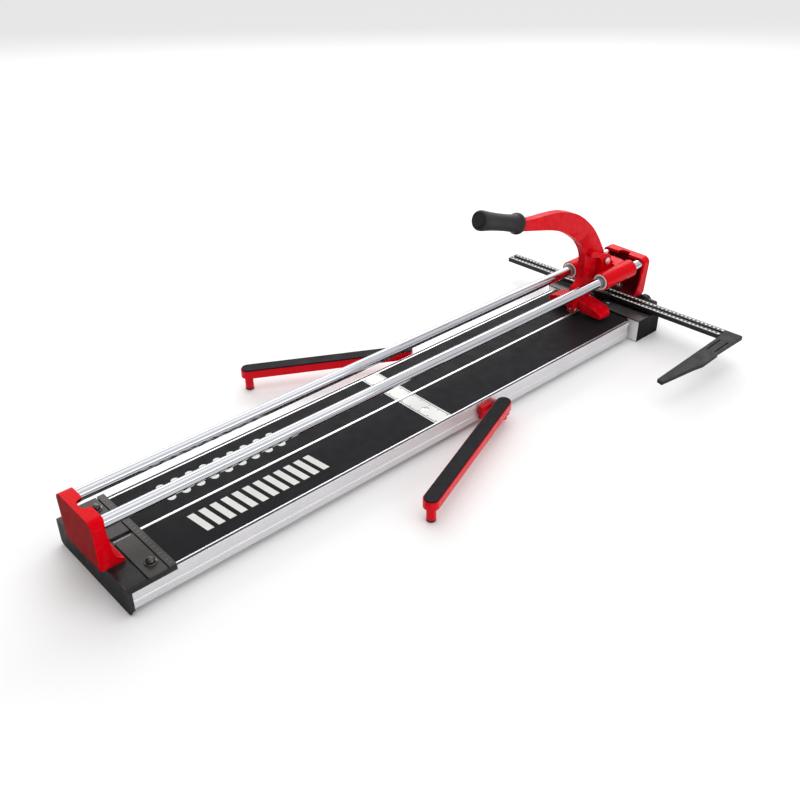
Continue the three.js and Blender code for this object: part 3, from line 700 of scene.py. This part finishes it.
def lever():
    px, pz = PIVOT
    wx, wz = WHEEL
    outer = smooth_line([(288, 337.5), (323, 332.2), (360, 329.5), (394, 326), (422, 320.8),
                         (452, 311), (476, 300), (503, 282), (533, 256), (555, 230), (573, 204),
                         (590, 177)], 4)
    lower = smooth_line([(596, 158), (586, 140), (570, 122), (558, 104), (550.5, 92)], 3)
    inner = smooth_line([(491.5, 104), (495, 117), (509, 127), (515.5, 142), (516.5, 165),
                         (513.5, 192), (505, 210.5), (487, 233.4), (459, 254.4), (430, 272),
                         (404, 283.6), (378, 292.2), (341, 301.8), (288, 315)], 4)
    fork = [(550.5, 70), (541.8, 70), (541.8, 90.5), (510.8, 90.5), (510.8, 68), (507, 57), (493, 57),
            (491, 74)]
    arm = join(prism([*outer, *lower, *fork, *inner], "y", -9, 9),
               rod(13, (px, -9.2, pz), (px, 9.2, pz)), rod(8, (300, 0, 325), (176, 0, 366)))
    cut(arm, block(485, 511.5, -3.3, 3.3, 50, 75.5), rod(3.1, (wx, -12, wz), (wx, 12, wz), chamfer=0),
        rod(3.1, (wx, 0, FOOT_PIN_Z), (549, 0, FOOT_PIN_Z), chamfer=0),
        rod(5.15, (px, -30, pz), (px, 30, pz), chamfer=0))
    piece("curved_lever", arm, "lever", ["lever_arm"], "red_paint", bevel=1.8, segments=4)

    start, end = Vector((283.6, 0, 330.4)), Vector((162.6, 0, 370.4))
    length = (end - start).length
    shape = [(0, 0), (19.6, 0), (21.4, 0.008), (22, 0.022), (22, 0.055), (21, 0.075), (19.2, 0.09),
             (18, 0.13), (17.2, 0.25), (17, 0.4), (17.3, 0.55), (18.2, 0.72), (19.6, 0.84),
             (20.2, 0.9), (20.1, 0.935), (19.3, 0.96), (17.4, 0.975), (15.4, 0.98), (14.8, 0.972),
             (13.8, 0.972), (12.6, 0.99), (0, 1)]
    grip = turned([(r, t * length) for r, t in shape], start, end - start, n=72)
    piece("soft_grip", grip, "lever", ["grip"], "grip_rubber", bevel=0)

    cap = [(0, 0), (5.2, 0), (5.6, 0.4), (5.6, 2), (5.2, 2.4), (0, 2.4)]
    axle = join(rod(3, (wx, -9.8, wz), (wx, 9.8, wz), n=32),
                turned(cap, (wx, -9.1, wz), (0, -1, 0), n=32))
    piece("wheel_pin", axle, "lever", ["wheel_axle"], "bright_steel", bevel=0)
    pin = rod(3, (wx + 1, 0, FOOT_PIN_Z), (548.5, 0, FOOT_PIN_Z), n=32)
    piece("foot_pin", pin, "lever", ["breaker_foot_pin"], "bright_steel", bevel=0)


def scoring_wheel():
    profile = [(3.25, -2.4), (5.2, -2.4), (5.5, -2.1), (6.2, -1.4), (9, -0.9), (WHEEL_R, 0), (9, 0.9),
               (6.2, 1.4), (5.5, 2.1), (5.2, 2.4), (3.25, 2.4)]
    made = turned(profile, (WHEEL[0], 0, WHEEL[1]), (0, 1, 0), n=64)
    piece("cutting_wheel", made, "wheel", ["scoring_wheel"], "bright_steel", bevel=0, sharp=25)


def breaker_foot():
    half = [*smooth_line([(9, 84.5), (22, 83), (44, 78.5), (60, 74.5), (70, 72)], 4),
            (75, 68), (75, 61.5), (72, 59.8),
            *smooth_line([(56, 59.8), (42, 60.4), (26, 61.4), (10, 62.4)], 4)]
    foot = solid(prism([*half, *sided(reversed(half), -1)], "x", 507, 551))
    gaps = [block(500, 511.6, -12, 12, 40, 100), block(541, 560, -12, 12, 40, 100)]
    corners = [prism(sided_plan(corner, s), "z", 40, 100) for _, s in SIDES
               for corner in ([(552, 58), (552, 80), (537, 80)], [(506, 70), (512, 80), (506, 80)])]
    cut(foot, *gaps, *corners)
    combine(foot, "UNION", [rod(8, (511.6, 0, FOOT_PIN_Z), (541, 0, FOOT_PIN_Z))])
    cut(foot, rod(3.3, (500, 0, FOOT_PIN_Z), (560, 0, FOOT_PIN_Z), chamfer=0))
    piece("breaking_foot", foot, "foot", ["breaker_foot"], "red_paint", bevel=2.0, segments=4)


# ---------------------------------------------------------------- fence

def fence():
    w = FENCE_HALF_W
    z0, z1 = FENCE_Z
    profile = [(-w, z0), (w, z0), (w, z1), (3.2, z1), (3.2, z1 - 2.5), (6, z1 - 2.5), (6, z1 - 7),
               (-6, z1 - 7), (-6, z1 - 2.5), (-3.2, z1 - 2.5), (-3.2, z1), (-w, z1)]
    bar = prism(profile, "y", -286, 300)
    bmesh.ops.rotate(bar, verts=bar.verts, matrix=Matrix.Rotation(math.pi, 3, "Z"))
    piece("fence_rule_bar", bar, "fence_slide", ["fence_bar"], "black_plastic", bevel=0.4,
          place=FENCE_PLACE)
    bands = [(-13.6, -8, -298, 284), (6.8, 12.8, -298, 284)]
    ticks = [(x, x + 4.2, y - 2.9, y + 2.9) for x in (-11.6, 6.8) for y in range(-290, 281, 10)]
    marks("fence_scale_bands", bands, z1 - 0.05, "black_plastic", body="fence_slide",
          place=FENCE_PLACE, material="print", height=0.15)
    marks("fence_scale_ticks", ticks, z1 + 0.05, "black_plastic", body="fence_slide",
          place=FENCE_PLACE)

    outline = [(-w, -300.4), (-w, -303), (-271.5, -303), (-275.5, -316.4), (-177, -333.7),
               (-152.6, -339.9), (-94.8, -340.1), (-86.7, -336.9), (12, -341.4), (15.6, -338.4),
               (15.6, -300.4)]
    grooves = [prism(stadium((-88.5, y), (-36, y), 1.8, 8), "z", 65, 70) for y in (-313.2, -331.5)]
    arm = cut(solid(prism(outline, "z", 59.2, z1 + 0.2)), *grooves)
    piece("fence_stop_arm", arm, "fence_slide", ["stop_arm"], "black_steel", material="stop_arm",
          bevel=0.6, place=FENCE_PLACE)

    lips = [block(*sorted((s * 14.2, s * 24)), -20, 20, 67.3, 70) for _, s in SIDES]
    clamp = join(rod(17.5, (0, 0, 51.3), (0, 0, 56.4)), block(-24, 24, -20, 20, 54.4, 56.5),
                 block(-24, -16.5, -20, 20, 54.4, 70), block(16.5, 24, -20, 20, 54.4, 70), *lips)
    piece("fence_clamp", clamp, "fence_swivel", ["fence_block"], "black_plastic", bevel=0.6,
          place=FENCE_PLACE)


def lock_knob():
    big = [(0, 0), (12.5, 0), (14.6, 0.6), (16.4, 2), (17.2, 4), (17.2, 13.5), (16.2, 16.5),
           (13.6, 18.4), (11.4, 19), (0, 19.2)]
    small = [(0, 0), (10.8, 0), (10.8, 19), (10, 20.6), (8, 21.6), (5, 21.9), (0, 22)]
    knob = join(turned(big, (KNOB_X, -60.5, KNOB_Z), (0, -1, 0), n=96, waves=8, depth=0.13),
                turned(small, (KNOB_X, -78.3, KNOB_Z), (0, -1, 0)),
                rod(4.9, (KNOB_X, -61, KNOB_Z), (KNOB_X, -37, KNOB_Z), n=32))
    piece("clamp_knob", knob, "knob", ["lock_knob"], "black_plastic", bevel=0)


# ---------------------------------------------------------------- support arms

def support_arm(side, s):
    x, y = ARM_PIVOT[0], s * ARM_PIVOT[1]
    place = Matrix.Translation((x, y, 0)) @ Matrix.Rotation(ARM_ANGLE[side], 4, "Z")
    z0, z1 = ARM_Z
    start, end = (0, 0), (ARM_LENGTH, 0)
    shell = cut(solid(prism(stadium(start, end, ARM_HALF_W - 0.2, 20), "z", z0, z1)),
                prism(stadium(start, end, ARM_HALF_W - 3), "z", z0 - 1, z1 - 4))
    combine(shell, "UNION", [rod(11, (0, 0, z0), (0, 0, z1 - 1)),
                             rod(8.8, (ARM_LENGTH, 0, 3.3), (ARM_LENGTH, 0, z1 - 1))])
    cut(shell, rod(5.2, (0, 0, z0 - 1), (0, 0, z1 - 3), chamfer=0))
    body = f"{side}_arm"
    piece(f"{side}_swing_arm", shell, body, [f"{side}_support_arm"], "arm_red", bevel=1.0,
          segments=3, place=place)
    pad = prism(stadium(start, end, 13.6, 20), "z", z1 + 0.1, 50.4)
    piece(f"{side}_swing_pad", pad, body, [f"{side}_arm_pad"], "mat_rubber", bevel=0.8,
          segments=3, place=place)
    tip = turned([(0, 0), (8, 0), (9, 0.8), (9, 3.1), (0, 3.1)], (ARM_LENGTH, 0, 0), (0, 0, 1))
    piece(f"{side}_swing_tip", tip, body, [f"{side}_arm_foot"], "grip_rubber", bevel=0, place=place)

    face_y = s * 115.3
    lug = join(block(66, 124, face_y, s * 120, 13, 30.6), block(66, 92, face_y, s * 124, 24, 42),
               prism(sided_plan(stadium((x, 118), ARM_PIVOT, 13), s), "z", 21, 30.6),
               rod(6.5, (79, s * 118, 34), (79, s * 125.4, 34), n=32))
    cut(lug, block(60, 130, s * 90, face_y, 0, 60), rod(5.05, (x, y, 10), (x, y, 40), chamfer=0))
    piece(f"{side}_swing_lug", lug, "base", [f"{side}_arm_lug"], "arm_red", bevel=0.8, segments=3)
    pin = join(rod(4.9, (x, y, 8), (x, y, 43), n=32), prism(ring(8.5, 6, x, y), "z", 8, 20.7))
    piece(f"{side}_swing_pin", pin, "base", [f"{side}_arm_pin"], "arm_red", bevel=0.5)


# ---------------------------------------------------------------- build

for name, sign in SIDES:
    deck_rail(name, sign)
    mat("near", name, sign, -617.5, -48.4)
    mat("far", name, sign, -3.6, 575)
    middle_rule(name, sign)
    near_furniture(name, sign)
    far_furniture(name, sign)
    slide_rail(name, sign)
    support_arm(name, sign)
centre_rail()
near_bracket()
far_bracket()
stop_strip()
end_post("near", POST_FACE_X[0], 1)
end_post("far", POST_FACE_X[1], -1)
mat_print()
carriage()
lever()
scoring_wheel()
breaker_foot()
fence()
lock_knob()


# ---------------------------------------------------------------- floor, light and camera

def studio():
    bm = bmesh.new()
    bmesh.ops.create_grid(bm, x_segments=1, y_segments=1, size=14)
    floor = solid(bm)
    floor.name = floor.data.name = "studio_floor"
    floor.location = (0.7, 0, -0.0005)
    floor.data.materials.append(surface("pale_floor", (0.93, 0.93, 0.93), 0.8, vary=0.004, grain=60,
                                        bump=0.0, spread=0.02, specular=0.1))

    scene = bpy.context.scene
    scene.view_settings.view_transform = "Standard"
    world = scene.world or bpy.data.worlds.new("studio")
    scene.world = world
    world.use_nodes = True
    tree = world.node_tree
    background = next(n for n in tree.nodes if n.type == "BACKGROUND")
    direction = tree.nodes.new("ShaderNodeTexCoord").outputs["Generated"]
    split = tree.nodes.new("ShaderNodeSeparateXYZ")
    tree.links.new(direction, split.inputs[0])

    def ramp(axis, low, high, out_low, out_high):
        node = tree.nodes.new("ShaderNodeMapRange")
        for key, number in zip(RAMP_INPUTS, (low, high, out_low, out_high)):
            node.inputs[key].default_value = number
        node.interpolation_type = "SMOOTHSTEP"
        tree.links.new(split.outputs[axis], node.inputs["Value"])
        return node.outputs["Result"]

    # a bright ceiling that dims towards the horizon, and less light from behind the near end
    product = tree.nodes.new("ShaderNodeMath")
    product.operation = "MULTIPLY"
    tree.links.new(ramp("Z", 0.0, 0.5, 0.42, 1.05), product.inputs[0])
    tree.links.new(ramp("X", -0.9, 0.1, 0.4, 1.0), product.inputs[1])
    tree.links.new(product.outputs[0], background.inputs["Strength"])
    background.inputs["Color"].default_value = (1, 1, 1, 1)

    def softbox(name, place, aim, size, power):
        data = bpy.data.lights.new(name, "AREA")
        data.shape, data.size, data.size_y, data.energy = "RECTANGLE", *size, power
        light = bpy.data.objects.new(name, data)
        scene.collection.objects.link(light)
        light.location = place
        light.rotation_euler = (Vector(aim) - Vector(place)).to_track_quat("-Z", "Y").to_euler()

    softbox("back_window", (2.5, 2.0, 1.75), (0.9, 0, 0.1), (4.2, 1.3), 52)
    softbox("overhead", (0.7, 0.0, 2.6), (0.7, 0, 0), (3.0, 1.6), 10)
    softbox("right_front", (1.0, -2.6, 1.2), (0.7, 0, 0.1), (2.6, 1.0), 12)

    camera = bpy.data.objects.new("camera", bpy.data.cameras.new("camera"))
    scene.collection.objects.link(camera)
    camera.data.sensor_width, camera.data.lens = 36, 42.13
    camera.location = TO_FRAME @ Vector((-1102, -1145, 1050))
    line_of_sight = Vector((0.5724, 0.6174, -0.5396))
    camera.rotation_euler = line_of_sight.to_track_quat("-Z", "Y").to_euler()
    scene.camera = camera


studio()
